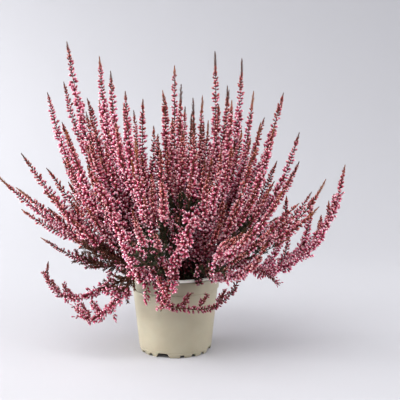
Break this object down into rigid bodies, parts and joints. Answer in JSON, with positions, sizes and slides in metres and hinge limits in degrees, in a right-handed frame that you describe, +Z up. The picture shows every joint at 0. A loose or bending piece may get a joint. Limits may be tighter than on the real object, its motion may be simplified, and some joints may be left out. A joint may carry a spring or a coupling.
{
  "type": "potted heather",
  "caption": "Bushy bud-flowering heather with upright, arching and trailing flower spikes, standing in a round tapered nursery pot with a rolled lip and a notched foot.",
  "frame": {"origin": "centre of the bounding box at the base: on the surface that the pot's foot ring stands on, at the pot's axis", "axes": "+Z up along the pot's axis, -Y towards the viewer, +X to the viewer's right along the plant's widest spread"},
  "size_m": [0.4359, 0.3718, 0.3808],
  "materials": {
    "pot_plastic": "moulded polypropylene in warm taupe grey, satin, with fine vertical draw marks",
    "peat": "dark fibrous peat compost, dull and crumbly",
    "heather": "closed dusty-pink flower buds in whorls, dark green scale leaves and brown woody stems"
  },
  "bodies": {
    "root": {"pot": "pot_plastic", "soil": "peat", "spray_01": "heather", "spray_02": "heather", "spray_03": "heather", "spray_04": "heather", "spray_05": "heather", "spray_06": "heather", "spray_07": "heather", "spray_08": "heather", "spray_09": "heather", "spray_10": "heather", "spray_11": "heather", "spray_12": "heather", "spray_13": "heather", "spray_14": "heather", "spray_15": "heather", "spray_16": "heather", "spray_17": "heather", "spray_18": "heather", "spray_19": "heather", "spray_20": "heather", "spray_21": "heather", "spray_22": "heather", "spray_23": "heather", "spray_24": "heather", "spray_25": "heather", "spray_26": "heather", "spray_27": "heather", "spray_28": "heather", "spray_29": "heather", "spray_30": "heather", "spray_31": "heather", "spray_32": "heather", "spray_33": "heather", "spray_34": "heather", "spray_35": "heather", "spray_36": "heather", "spray_37": "heather", "spray_38": "heather", "spray_39": "heather", "spray_40": "heather", "spray_41": "heather", "spray_42": "heather", "spray_43": "heather", "spray_44": "heather", "spray_45": "heather", "spray_46": "heather", "spray_47": "heather", "spray_48": "heather", "spray_49": "heather", "spray_50": "heather", "spray_51": "heather", "spray_52": "heather", "spray_53": "heather", "spray_54": "heather", "spray_55": "heather", "spray_56": "heather"}
  },
  "joints": []
}
